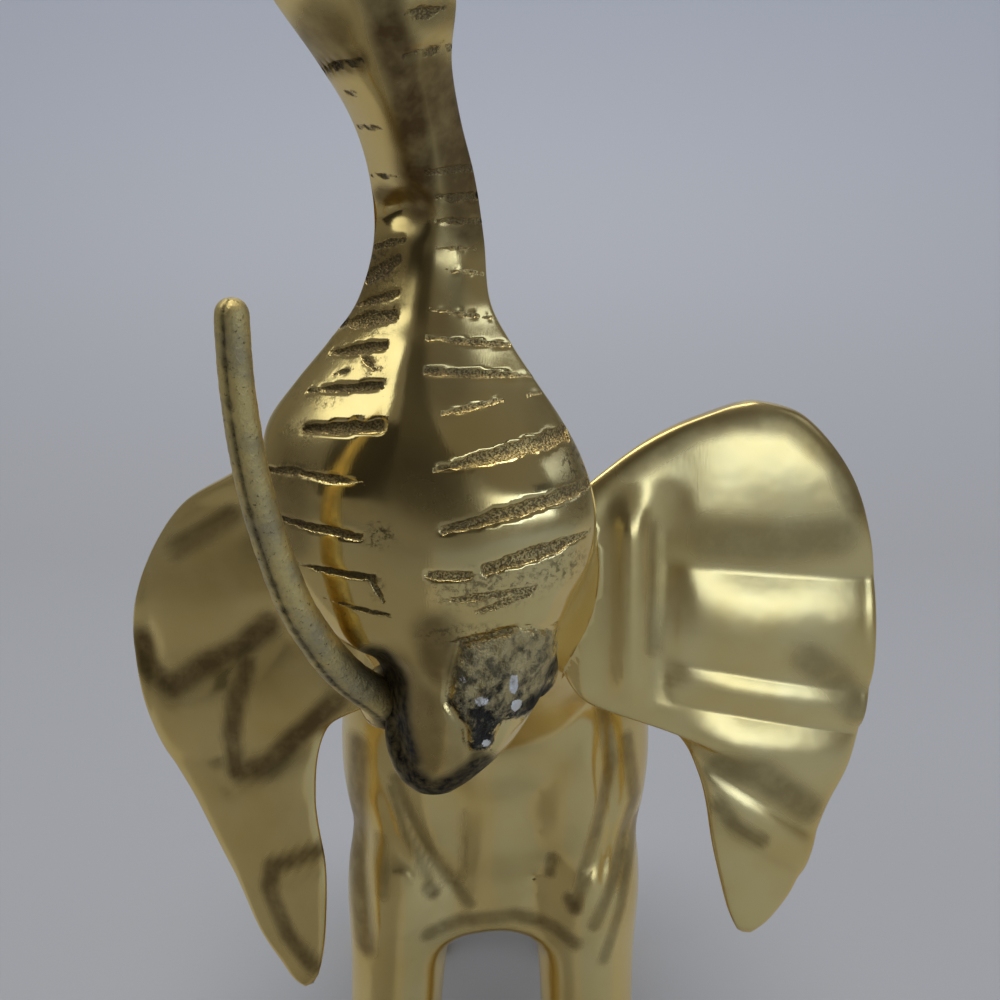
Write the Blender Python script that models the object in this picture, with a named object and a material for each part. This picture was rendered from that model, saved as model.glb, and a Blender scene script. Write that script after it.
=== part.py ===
"""Brass elephant figurine with a raised trunk, one casting and one soldered tusk.

The elephant faces -Y and stands on its four soles, with +Z up. The origin is at the
middle of the underside of its box. The form is free, so its places are counted in
parts, 188 of which make the height. The ear wall, the tusk rod and its socket have
sizes of their own.
"""
import math

import bmesh
import bpy
from mathutils import Euler, Matrix, Vector

# Driving dimensions, in metres
HEIGHT = 0.188
EAR_WALL = 0.0022
TUSK_ROOT_DIAMETER = 0.0046
TUSK_TIP_DIAMETER = 0.0034
TUSK_SEAT_DEPTH = 0.0030
SOLDER_GAP = 0.0003
GROOVE_DEPTH = 0.0009
EAR_RIPPLE = 0.0011

# One part, the unit of every place and form below
PART = HEIGHT / 188

# Fineness of the faceted solids
BODY_VOXEL = 1.5 * PART
BODY_FACES_KEPT = 0.098
TRUNK_SIDES = 26
EAR_COLUMNS = 8
EAR_ROWS = 22
TUSK_SIDES = 14
TUSK_ROWS = 16

# Each ring of the face and trunk: height, middle across, half width, depth of the
# side edge, how far the front stands before that edge, how far the back lies
# behind it, forward lean in degrees
FACE_AND_TRUNK = [
    (84.2, -7.6, 1.2, -84.5, 2.0, 4, 0),
    (86.0, -7.0, 3.5, -84.0, 4.6, 8, 0),
    (89.6, -5.6, 6.5, -84.0, 6.4, 12, 0),
    (94.4, -4.3, 8.6, -84.0, 7.6, 13, 0),
    (99.1, -3.8, 10.0, -84.2, 8.2, 13, 0),
    (102.2, -6.0, 12.6, -84.6, 8.6, 13, 0),
    (106.2, -7.0, 15.0, -85.0, 9.2, 14, 0),
    (110.8, -7.3, 17.3, -85.4, 9.6, 16, 0),
    (116.4, -7.8, 18.3, -85.5, 9.6, 18, 0),
    (121.9, -8.5, 17.5, -85.4, 9.2, 18, 0),
    (126.3, -9.2, 15.9, -85.1, 8.6, 16.5, 0),
    (130.6, -9.1, 12.9, -84.8, 7.4, 12.5, 0),
    (134.9, -8.7, 9.7, -84.6, 6.2, 9, 2),
    (139.2, -8.2, 7.1, -84.4, 4.9, 6.5, 6),
    (145.5, -7.6, 5.9, -84.2, 4.1, 5.6, 14),
    (151.7, -8.1, 5.5, -86.5, 3.9, 5.2, 26),
    (157.5, -9.5, 5.5, -90.8, 3.9, 5.0, 36),
    (162.8, -11.3, 6.6, -95.8, 4.2, 4.8, 42),
    (167.8, -12.7, 8.6, -100.2, 4.4, 4.8, 42),
    (173.5, -14.5, 10.2, -104.2, 4.6, 5.2, 36),
    (180.0, -16.6, 9.8, -107.4, 5.0, 5.8, 26),
    (186.4, -18.3, 8.2, -109.6, 5.0, 5.6, 18),
]
SIDE_EDGE_SHARPNESS = 1.25
NOSTRIL_RIM_SHARE = 0.72
NOSTRIL_FLOOR_SHARE = 0.45
NOSTRIL_DEPTH = 4.0

# Filed wrinkles across the trunk: start across and height, end across and height,
# width along the trunk
WRINKLES = [
    (-12.0, 107.2, -20.0, 108.4, 1.0),
    (-13.0, 111.0, -23.0, 112.4, 1.2),
    (-14.0, 116.0, -25.0, 116.2, 1.4),
    (-12.4, 122.0, -25.5, 122.6, 1.5),
    (-11.9, 126.2, -23.0, 126.6, 1.3),
    (-12.2, 131.0, -21.0, 129.8, 1.2),
    (-11.8, 134.8, -18.0, 134.6, 1.1),
    (-11.4, 138.2, -16.0, 138.0, 1.0),
    (-13.0, 161.8, -18.5, 162.0, 1.1),
    (-10.0, 163.4, -5.0, 163.4, 1.1),
    (-6.7, 149.4, -1.5, 149.6, 1.1),
    (-6.7, 145.4, -1.2, 145.6, 1.1),
    (-7.2, 135.2, 0.5, 135.6, 1.1),
    (-7.2, 131.9, 4.5, 131.9, 1.1),
    (-5.7, 127.9, 5.0, 129.2, 1.3),
    (-6.7, 122.1, 8.0, 125.6, 2.0),
    (-5.7, 115.9, 10.8, 120.4, 2.0),
    (-7.2, 110.9, 10.6, 115.4, 2.0),
    (-5.0, 107.4, 9.0, 111.0, 1.6),
]

# Barrel of the body along its length: place, height, half width, half height
BARREL = [
    (-47, 84, 9, 12),
    (-42, 83.5, 17, 21),
    (-33, 82, 21, 27),
    (-15, 79, 24, 30),
    (10, 77, 25.5, 30.5),
    (35, 78, 25, 28),
    (52, 79, 21, 24),
    (61, 80, 14, 16),
    (65.5, 81, 6, 8),
]
# Neck from inside the head to inside the barrel: across, place, height, half
# width, half height
NECK = [
    (-3.8, -72, 108, 13, 14),
    (-3.2, -60, 104, 16, 18.5),
    (-2.0, -47, 96, 18, 21),
    (-1.0, -32, 88, 20, 22),
]
SKULL_MIDDLE = (-3.6, -65, 110)
SKULL_HALF = (15.6, 19, 17)
SKULL_TURN = (0, -4, -7)
# Shoulders, haunches and belly that the limbs grow out of: middle, half sizes
MUSCLES = [
    ((-11.6, -31, 72), (12.2, 15, 25)),
    ((10.2, -31, 72), (12.2, 15, 25)),
    ((-13.0, 43, 68), (13.6, 19, 27)),
    ((11.6, 43, 68), (13.6, 19, 27)),
    ((-0.8, 6, 68), (21, 36, 22)),
    ((-1.2, -32, 65), (15, 12.5, 18.5)),
]

# Legs from the sole up: height, half width, half depth
FORELEG = [(-2, 8.4, 9.6), (3, 8.5, 9.8), (8, 7.6, 8.8), (22, 7.0, 8.4), (38, 7.3, 9.4), (54, 8.6, 11), (72, 6, 7)]
HINDLEG = [(-2, 8.6, 9.8), (3, 8.7, 10), (8, 7.8, 9), (22, 7.1, 8.8), (38, 8.2, 11), (54, 9.6, 13), (72, 7, 9)]
# Middle of each sole and of the top of that leg: across, place
FORELEG_PLACES = [((-16.6, -34), (-12.5, -32)), ((13.6, -34), (11.5, -32))]
HINDLEG_PLACES = [((-19.2, 47), (-14.2, 42)), ((17.2, 47), (13.4, 42))]
# Rounded lip of the arch between the forelegs: across, place, height, radius
LEG_ARCH = [
    (-12.2, -38.5, 33.0, 2.6),
    (-11.9, -38.5, 38.6, 2.6),
    (-10.5, -38.5, 42.8, 2.6),
    (-6.9, -38.5, 45.4, 2.6),
    (0.7, -38.5, 46.8, 2.6),
    (5.6, -38.5, 45.3, 2.6),
    (9.0, -38.5, 42.3, 2.6),
    (10.2, -38.5, 36.0, 2.6),
]
TOENAILS = 4
TOENAIL_HALF = (2.0, 1.5, 2.4)
TOENAIL_SPREAD = 50

TAIL = [
    (-1, 57, 97, 2.6),
    (-1, 64, 91, 2.6),
    (-2, 66, 80, 2.4),
    (-4.5, 64, 67, 2.3),
    (-8, 60.5, 55, 2.3),
    (-10.5, 58, 47, 3.3),
    (-12, 56, 38, 2.2),
]
# Cheek bosses where tusks were soldered, and eyes: middle, radius
CHEEK_BOSSES = [((-12.6, -80.5, 93.6), 4.4), ((2.8, -82.5, 97.8), 4.4)]
EYES = [((-17.3, -73.5, 115.0), 2.3), ((9.3, -76.0, 116.4), 2.3)]

# Ears: free edge or root on the head side and outer edge, as across, height pairs
# from the top to the tip, then depth at the head, at the outer edge and at the tip
VIEWER_RIGHT_EAR = {
    "inner": [(30.5, 124.6), (22.0, 121.8), (14.6, 117.4), (7.5, 111), (6.5, 103), (6.5, 95),
              (11.0, 86.2), (22.2, 81.6), (26.8, 74.4), (29.4, 62.3), (32.4, 50.6)],
    "outer": [(33.0, 125.0), (40.2, 122.6), (47.0, 114.8), (50.4, 105.5), (51.6, 95.2), (51.2, 83),
              (48.8, 74.6), (45.6, 68), (43.6, 61.8), (40.6, 55.6), (35.4, 49.8)],
    "depths": (-59, -46, -50),
}
VIEWER_LEFT_EAR = {
    "inner": [(-26.5, 119.4), (-21.0, 118.0), (-14.5, 113), (-12.5, 106), (-12.5, 98), (-13.5, 90),
              (-17.0, 83.6), (-24.0, 78.6), (-25.8, 68.6), (-24.6, 56), (-25.6, 40.6)],
    "outer": [(-29.5, 118.6), (-36.5, 114.2), (-44.5, 109), (-50.0, 100.5), (-52.4, 91), (-51.4, 81.5),
              (-48.4, 73.4), (-43.4, 66), (-37.8, 54.5), (-34.0, 46), (-28.6, 37.6)],
    "depths": (-53, -39, -43),
}
EAR_RIDGES = 5.5
EAR_CUP = 2.0

# Tusk centre line from the mouth of its socket to the tip
TUSK_LINE = [
    (-14.3, -84.9, 95.4),
    (-17.0, -88.5, 98.8),
    (-19.4, -92.2, 103.4),
    (-21.8, -95.4, 109.4),
    (-24.2, -99.6, 120.2),
    (-25.2, -103.0, 130.6),
    (-25.2, -105.6, 140.2),
]


def clear_scene():
    for item in list(bpy.data.objects):
        bpy.data.objects.remove(item, do_unlink=True)


def row_at(stations, place):
    """Row of values at a place along stations, on a smooth curve through them."""
    last = len(stations) - 1
    place = min(max(place, 0.0), 1.0) * last
    index = min(int(place), last - 1)
    share = place - index
    before, start = stations[max(index - 1, 0)], stations[index]
    end, after = stations[index + 1], stations[min(index + 2, last)]
    row = []
    for a, b, c, d in zip(before, start, end, after):
        slope_in, slope_out = (c - a) / 2, (d - b) / 2
        row.append(b + share * (slope_in + share * (3 * (c - b) - 2 * slope_in - slope_out
                   + share * (2 * (b - c) + slope_in + slope_out))))
    return row


def surface_mesh(bm, rows, columns, place):
    """Closed tube of rows by columns points, each put where place(turn, along) says."""
    grid = bmesh.ops.create_grid(bm, x_segments=columns, y_segments=rows, size=0.5)["verts"]
    for vertex in grid:
        vertex.co = place(vertex.co.x + 0.5, vertex.co.y + 0.5)
    bmesh.ops.remove_doubles(bm, verts=grid, dist=PART * 0.001)
    grid = [vertex for vertex in grid if vertex.is_valid]
    rim = {edge for vertex in grid for edge in vertex.link_edges if edge.is_boundary}
    bmesh.ops.holes_fill(bm, edges=list(rim), sides=0)
    return grid


def finish_object(name, bm, material, smooth_angle=35):
    bmesh.ops.recalc_face_normals(bm, faces=bm.faces)
    mesh = bpy.data.meshes.new(name)
    bm.to_mesh(mesh)
    bm.free()
    mesh.shade_smooth()
    mesh.set_sharp_from_angle(angle=math.radians(smooth_angle))
    mesh.materials.append(material)
    made = bpy.data.objects.new(name, mesh)
    bpy.context.collection.objects.link(made)
    return made


def make_material(name, colour, roughness):
    material = bpy.data.materials.new(name)
    material.use_nodes = True
    shader = material.node_tree.nodes["Principled BSDF"]
    shader.inputs["Base Color"].default_value = (*colour, 1)
    shader.inputs["Roughness"].default_value = roughness
    shader.inputs["Metallic"].default_value = 1.0
    return material


def as_tool(made):
    """Shape that only joins or cuts another, so it is no piece of its own."""
    made.hide_render = True
    made.display_type = "WIRE"
    return made


def wrinkle_depth(across, height):
    """Depth of the filed wrinkles at a point of the trunk's front, in parts."""
    deepest = 0.0
    for x_start, z_start, x_end, z_end, width in WRINKLES:
        share = (across - x_start) / (x_end - x_start)
        if not -0.1 < share < 1.1:
            continue
        middle = z_start + (z_end - z_start) * share
        inside = 1 - ((height - middle) / (width * 0.75)) ** 2
        fade = min(1.0, (share + 0.1) / 0.25, (1.1 - share) / 0.15)
        if inside > 0:
            deepest = max(deepest, inside * fade)
    return deepest * GROOVE_DEPTH / PART


def trunk_heights():
    """Heights of the trunk's rings, closer where wrinkles cross the front."""
    heights = [84.2, 85, 86, 87.6, 89.6, 92, 94.4, 97, 99.1, 101, 103, 105]
    heights += [106.6 + 1.5 * step for step in range(23)]
    heights += [141, 143, 145.4, 147.4, 149.5, 152, 154.5, 157, 159.5, 161.9, 163.4]
    heights += [165.5, 168, 171, 174, 177, 180, 183, 186.4]
    return heights


def trunk_ring_row(height):
    """Face and trunk sizes at a height."""
    rows = FACE_AND_TRUNK
    index = 0
    while index < len(rows) - 2 and height > rows[index + 1][0]:
        index += 1
    share = (height - rows[index][0]) / (rows[index + 1][0] - rows[index][0])
    return row_at(rows, (index + share) / (len(rows) - 1))


def trunk_point(turn, height, shrink=1.0, sink=0.0):
    """Point of the ring at a height, turned from the front round to the back."""
    _, middle, half, edge_y, front, back, lean = trunk_ring_row(height)
    angle = turn * math.tau
    aside, ahead = math.sin(angle), math.cos(angle)
    across = middle + half * aside * shrink
    if ahead > 0:
        depth = -front * ahead ** SIDE_EDGE_SHARPNESS
        depth += wrinkle_depth(across, height) if shrink == 1.0 else 0.0
    else:
        depth = -back * ahead
    depth *= shrink
    tilt = math.radians(lean)
    y = edge_y + depth * math.cos(tilt) + sink * math.sin(tilt)
    z = height + depth * math.sin(tilt) - sink * math.cos(tilt)
    return Vector((across, y, z)) * PART


def make_trunk(material):
    """Chin, face and trunk in one skin, with the nostril hollow in its end."""
    heights = trunk_heights()
    end = heights[-1]
    inner = [(end, NOSTRIL_RIM_SHARE, 0.0), (end, NOSTRIL_FLOOR_SHARE, NOSTRIL_DEPTH)]
    rings = [(height, 1.0, 0.0) for height in heights] + inner

    def place(turn, along):
        height, shrink, sink = rings[round(along * (len(rings) - 1))]
        return trunk_point(turn, height, shrink, sink)

    bm = bmesh.new()
    surface_mesh(bm, len(rings) - 1, TRUNK_SIDES, place)
    return as_tool(finish_object("trunk_shape", bm, material))


def make_ear(name, ear, material):
    """Thin rippled leaf from the head out to the rim."""
    side = 1 if ear["outer"][3][0] > 0 else -1
    hub = Vector((side * 15.0, 100.0))
    head_y, outer_y, tip_y = ear["depths"]

    def place(across, along):
        inner_x, inner_z = row_at(ear["inner"], along)
        outer_x, outer_z = row_at(ear["outer"], along)
        x = inner_x + (outer_x - inner_x) * across
        z = inner_z + (outer_z - inner_z) * across
        spread = min(1.0, (Vector((x, z)) - hub).length / 34.0)
        y = head_y + (outer_y - head_y) * min(1.0, abs(x - side * 10) / 40)
        y += (tip_y - y) * max(0.0, (70 - z) / 30) * 0.6
        y -= EAR_CUP * math.sin(math.pi * across) * math.sin(math.pi * along)
        fan = math.atan2(z - hub.y, abs(x - hub.x) + 4)
        ripple = EAR_RIPPLE / PART * math.cos(fan * EAR_RIDGES * 2) * spread
        return Vector((x, y + ripple, z)) * PART

    bm = bmesh.new()
    grid = bmesh.ops.create_grid(bm, x_segments=EAR_COLUMNS, y_segments=EAR_ROWS, size=0.5)["verts"]
    for vertex in grid:
        vertex.co = place(vertex.co.x + 0.5, vertex.co.y + 0.5)
    leaf = finish_object(name, bm, material)
    wall = leaf.modifiers.new("ear wall", "SOLIDIFY")
    wall.thickness = EAR_WALL
    wall.offset = 0
    return as_tool(leaf)


def add_ball(bm, middle, half, turn=(0, 0, 0)):
    """Rounded form with its own half sizes, turned in degrees."""
    rotation = Euler([math.radians(angle) for angle in turn]).to_matrix().to_4x4()
    size = Matrix.Diagonal((*(Vector(half) * PART), 1))
    place = Matrix.Translation(Vector(middle) * PART) @ rotation @ size
    bmesh.ops.create_uvsphere(bm, u_segments=24, v_segments=16, radius=1, matrix=place)


def add_upright_limb(bm, stations, sole, top):
    """Leg whose rings are level, running from its sole to its top place."""
    lowest, highest = stations[0][0], stations[-1][0]

    def place(turn, along):
        height, half_width, half_depth = row_at(stations, along)
        share = (height - lowest) / (highest - lowest)
        x = sole[0] + (top[0] - sole[0]) * share ** 2
        y = sole[1] + (top[1] - sole[1]) * share ** 2
        angle = turn * math.tau
        return Vector((x + half_width * math.cos(angle), y + half_depth * math.sin(angle), height)) * PART

    surface_mesh(bm, 24, 24, place)


def add_barrel(bm):
    def place(turn, along):
        y, middle, half_width, half_height = row_at(BARREL, along)
        angle = turn * math.tau
        return Vector((-1.0 + half_width * math.cos(angle), y, middle + half_height * math.sin(angle))) * PART

    surface_mesh(bm, 40, 32, place)


def add_neck(bm):
    def place(turn, along):
        x, y, middle, half_width, half_height = row_at(NECK, along)
        angle = turn * math.tau
        return Vector((x + half_width * math.cos(angle), y, middle + half_height * math.sin(angle))) * PART

    surface_mesh(bm, 16, 28, place)


def tube_point(line, turn, along, radius):
    """Point on a tube round a centre line."""
    step = 0.01
    here = Vector(row_at(line, along)[:3])
    ahead = Vector(row_at(line, min(along + step, 1))[:3]) - Vector(row_at(line, max(along - step, 0))[:3])
    ahead.normalize()
    side = ahead.cross(Vector((0, 1, 0.3))).normalized()
    up = side.cross(ahead)
    angle = turn * math.tau
    return here * PART + (side * math.cos(angle) + up * math.sin(angle)) * radius


def add_tube(bm, line):
    def place(turn, along):
        return tube_point(line, turn, along, row_at(line, along)[3] * PART)

    surface_mesh(bm, 24, 12, place)


def add_toenails(bm, sole, half_width, half_depth):
    """Row of nails round the front of a foot."""
    for index in range(TOENAILS):
        angle = math.radians(TOENAIL_SPREAD * (2 * index / (TOENAILS - 1) - 1))
        x = sole[0] + (half_width - 0.3) * math.sin(angle)
        y = sole[1] - (half_depth - 0.3) * math.cos(angle)
        add_ball(bm, (x, y, 3.0), TOENAIL_HALF, (0, 0, math.degrees(angle)))


def make_body(material):
    """Body, head, legs and tail, blended into one rounded form."""
    bm = bmesh.new()
    add_barrel(bm)
    add_neck(bm)
    add_tube(bm, TAIL)
    add_tube(bm, LEG_ARCH)
    add_ball(bm, SKULL_MIDDLE, SKULL_HALF, SKULL_TURN)
    for stations, places in ((FORELEG, FORELEG_PLACES), (HINDLEG, HINDLEG_PLACES)):
        for sole, top in places:
            add_upright_limb(bm, stations, sole, top)
            add_toenails(bm, sole, stations[1][1], stations[1][2])
    for middle, half in MUSCLES:
        add_ball(bm, middle, half)
    for middle, radius in CHEEK_BOSSES + EYES:
        add_ball(bm, middle, (radius,) * 3)
    body = finish_object("elephant_casting", bm, material)

    blend = body.modifiers.new("blend", "REMESH")
    blend.mode = "VOXEL"
    blend.voxel_size = BODY_VOXEL
    blend.use_smooth_shade = True
    soften = body.modifiers.new("soften", "SMOOTH")
    soften.factor = 0.5
    soften.iterations = 7
    fewer = body.modifiers.new("fewer faces", "DECIMATE")
    fewer.ratio = BODY_FACES_KEPT
    return body


def join(body, tool, operation):
    step = body.modifiers.new(f"{operation.lower()} {tool.name}", "BOOLEAN")
    step.operation = operation
    step.solver = "EXACT"
    step.object = tool


def tusk_centre_line():
    """Centre line of the rod, led back from its socket's mouth to its seat."""
    mouth, ahead = Vector(TUSK_LINE[0]), Vector(TUSK_LINE[1])
    inwards = (mouth - ahead).normalized()
    return [mouth + inwards * (TUSK_SEAT_DEPTH / PART)] + [Vector(point) for point in TUSK_LINE]


def make_tusk(material):
    """Soldered rod, seated in the cheek and rounded at its tip."""
    line = tusk_centre_line()
    round_share = 0.03
    rows = [index / TUSK_ROWS * (1 - round_share) for index in range(TUSK_ROWS)]
    rows += [1 - round_share, 1 - round_share / 2, 1]

    def place(turn, along):
        along = rows[round(along * (len(rows) - 1))]
        rounding = max(0.0, (along - 1 + round_share) / round_share) * 0.94
        diameter = TUSK_ROOT_DIAMETER + (TUSK_TIP_DIAMETER - TUSK_ROOT_DIAMETER) * along
        return tube_point(line, turn, along, diameter / 2 * math.sqrt(1 - rounding ** 2))

    bm = bmesh.new()
    surface_mesh(bm, len(rows) - 1, TUSK_SIDES, place)
    return finish_object("right_tusk", bm, material)


def make_tusk_socket(material):
    """Space round the seated end of the tusk, a solder gap wider than the rod."""
    seat, mouth = tusk_centre_line()[:2]
    outwards = (mouth - seat).normalized()
    deep_end = seat * PART - outwards * SOLDER_GAP
    open_end = mouth * PART + outwards * TUSK_ROOT_DIAMETER
    radius = TUSK_ROOT_DIAMETER / 2 + SOLDER_GAP
    turn = outwards.to_track_quat("Z", "Y").to_matrix().to_4x4()
    bm = bmesh.new()
    bmesh.ops.create_cone(bm, cap_ends=True, segments=TUSK_SIDES, radius1=radius, radius2=radius,
                          depth=(open_end - deep_end).length,
                          matrix=Matrix.Translation((deep_end + open_end) / 2) @ turn)
    return as_tool(finish_object("tusk_socket_shape", bm, material))


def make_floor_cut(material):
    """Block below the soles, which cuts them flat."""
    side = HEIGHT * 2
    bm = bmesh.new()
    bmesh.ops.create_cube(bm, size=side, matrix=Matrix.Translation((0, 0, -side / 2)))
    return as_tool(finish_object("floor_shape", bm, material))


def lowest_and_highest(made):
    evaluated = made.evaluated_get(bpy.context.evaluated_depsgraph_get())
    mesh = evaluated.to_mesh()
    corners = [made.matrix_world @ vertex.co for vertex in mesh.vertices]
    evaluated.to_mesh_clear()
    low = Vector([min(corner[axis] for corner in corners) for axis in range(3)])
    high = Vector([max(corner[axis] for corner in corners) for axis in range(3)])
    return low, high


def build():
    clear_scene()
    brass = make_material("polished_brass", (0.72, 0.52, 0.16), 0.2)
    rod_brass = make_material("unpolished_brass", (0.42, 0.33, 0.16), 0.45)
    body = make_body(brass)
    join(body, make_trunk(brass), "UNION")
    join(body, make_ear("viewer_right_ear_shape", VIEWER_RIGHT_EAR, brass), "UNION")
    join(body, make_ear("viewer_left_ear_shape", VIEWER_LEFT_EAR, brass), "UNION")
    join(body, make_floor_cut(brass), "DIFFERENCE")
    join(body, make_tusk_socket(brass), "DIFFERENCE")
    tusk = make_tusk(rod_brass)

    # The origin goes to the middle of the underside of the elephant's box
    low, high = lowest_and_highest(body)
    stand = bpy.data.objects.new("elephant", None)
    bpy.context.collection.objects.link(stand)
    for made in [item for item in bpy.data.objects if item is not stand]:
        made.parent = stand
    stand.location = (-(low.x + high.x) / 2, -(low.y + high.y) / 2, 0)
    bpy.context.view_layer.update()
    return body, tusk


build()
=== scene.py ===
import math

import bmesh
import bpy
from mathutils import Euler, Matrix, Vector, noise


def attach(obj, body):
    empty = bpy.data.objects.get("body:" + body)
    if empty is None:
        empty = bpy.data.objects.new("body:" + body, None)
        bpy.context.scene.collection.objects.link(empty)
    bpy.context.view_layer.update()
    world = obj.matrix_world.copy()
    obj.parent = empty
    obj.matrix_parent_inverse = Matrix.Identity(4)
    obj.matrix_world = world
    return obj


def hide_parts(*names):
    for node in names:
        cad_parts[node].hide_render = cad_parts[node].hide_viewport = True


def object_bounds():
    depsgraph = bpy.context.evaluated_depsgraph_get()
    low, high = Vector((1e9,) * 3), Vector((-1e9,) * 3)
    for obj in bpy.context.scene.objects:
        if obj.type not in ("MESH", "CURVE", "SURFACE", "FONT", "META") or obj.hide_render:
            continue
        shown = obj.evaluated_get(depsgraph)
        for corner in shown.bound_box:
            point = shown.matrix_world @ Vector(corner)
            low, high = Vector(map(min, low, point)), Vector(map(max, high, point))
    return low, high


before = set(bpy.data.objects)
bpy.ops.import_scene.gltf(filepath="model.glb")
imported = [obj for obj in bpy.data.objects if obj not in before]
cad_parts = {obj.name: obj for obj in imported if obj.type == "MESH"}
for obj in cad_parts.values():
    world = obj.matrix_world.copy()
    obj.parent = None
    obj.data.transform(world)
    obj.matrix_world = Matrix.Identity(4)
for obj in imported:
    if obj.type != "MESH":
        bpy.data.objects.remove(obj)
cad_low, cad_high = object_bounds()

# The figurine's own measure. Every place below is counted in parts of its height,
# from a point on the floor below the chest, HOME parts from the middle of the box.
HEIGHT_IN_PARTS = 188.13
PART = (cad_high.z - cad_low.z) / HEIGHT_IN_PARTS
HOME = Vector((0.39, 23.24, 0.0))


def at(x, y, z):
    return (Vector((x, y, z)) + HOME) * PART


# Camera, held close before the face and a little above it, looking down.
CAMERA_PLACE = (0, -247, 146)
CAMERA_TILT = 80
LENS_MM, SENSOR_MM = 54, 36

camera_data = bpy.data.cameras.new("camera")
camera_data.sensor_width = SENSOR_MM
camera_data.lens = LENS_MM
camera_data.clip_start = 0.01
camera_data.clip_end = 20
camera = bpy.data.objects.new("camera", camera_data)
camera.location = at(*CAMERA_PLACE)
camera.rotation_euler = (math.radians(CAMERA_TILT), 0, 0)
bpy.context.collection.objects.link(camera)
bpy.context.scene.camera = camera


# Chin, face and trunk. One smooth skin of the casting, filed by hand: the front is
# polished, and the wrinkles are strokes cut across it, whose floors stay rough and dark.
# Ring of the skin: height, middle across, half width, depth of the side edge, front
# before that edge, back behind it, forward lean.
FACE_AND_TRUNK = [
    (84.2, -7.5, 2.6, -84.5, 2.4, 4.4, 0),
    (86.0, -7.1, 4.8, -84.0, 4.8, 8, 0),
    (89.6, -5.8, 7.2, -84.0, 6.4, 12, 0),
    (94.4, -4.3, 8.6, -84.0, 7.6, 13, 0),
    (99.1, -3.8, 10.0, -84.2, 8.2, 13, 0),
    (102.2, -6.0, 12.6, -84.6, 8.6, 13, 0),
    (106.2, -7.0, 15.0, -85.0, 9.2, 14, 0),
    (110.8, -7.3, 17.3, -85.4, 9.6, 16, 0),
    (116.4, -7.8, 18.3, -85.5, 9.6, 18, 0),
    (121.9, -8.5, 17.5, -85.4, 9.2, 18, 0),
    (126.3, -9.2, 15.9, -85.1, 8.6, 16.5, 0),
    (130.6, -9.1, 12.9, -84.8, 7.4, 12.5, 0),
    (134.9, -8.7, 9.7, -84.6, 6.2, 9, 2),
    (139.2, -8.2, 7.1, -84.4, 4.9, 6.5, 6),
    (145.5, -7.6, 5.9, -84.2, 4.1, 5.6, 14),
    (151.7, -8.1, 5.5, -86.5, 3.9, 5.2, 26),
    (157.5, -9.5, 5.5, -90.8, 3.9, 5.0, 36),
    (162.8, -11.3, 6.6, -95.8, 4.2, 4.8, 42),
    (167.8, -12.7, 8.6, -100.2, 4.4, 4.8, 42),
    (173.5, -14.5, 10.2, -104.2, 4.6, 5.2, 36),
    (180.0, -16.6, 9.8, -107.4, 5.0, 5.8, 26),
    (186.4, -18.3, 8.2, -109.6, 5.0, 5.6, 18),
]
SIDE_EDGE_SHARPNESS = 1.25
# Notch filed in the left of the trunk's waist: middle, half sizes and depth.
WAIST_DIMPLE, WAIST_DIMPLE_HALF, WAIST_DIMPLE_DEPTH = (-10.0, 148.2), (2.4, 1.9), 2.5
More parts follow.
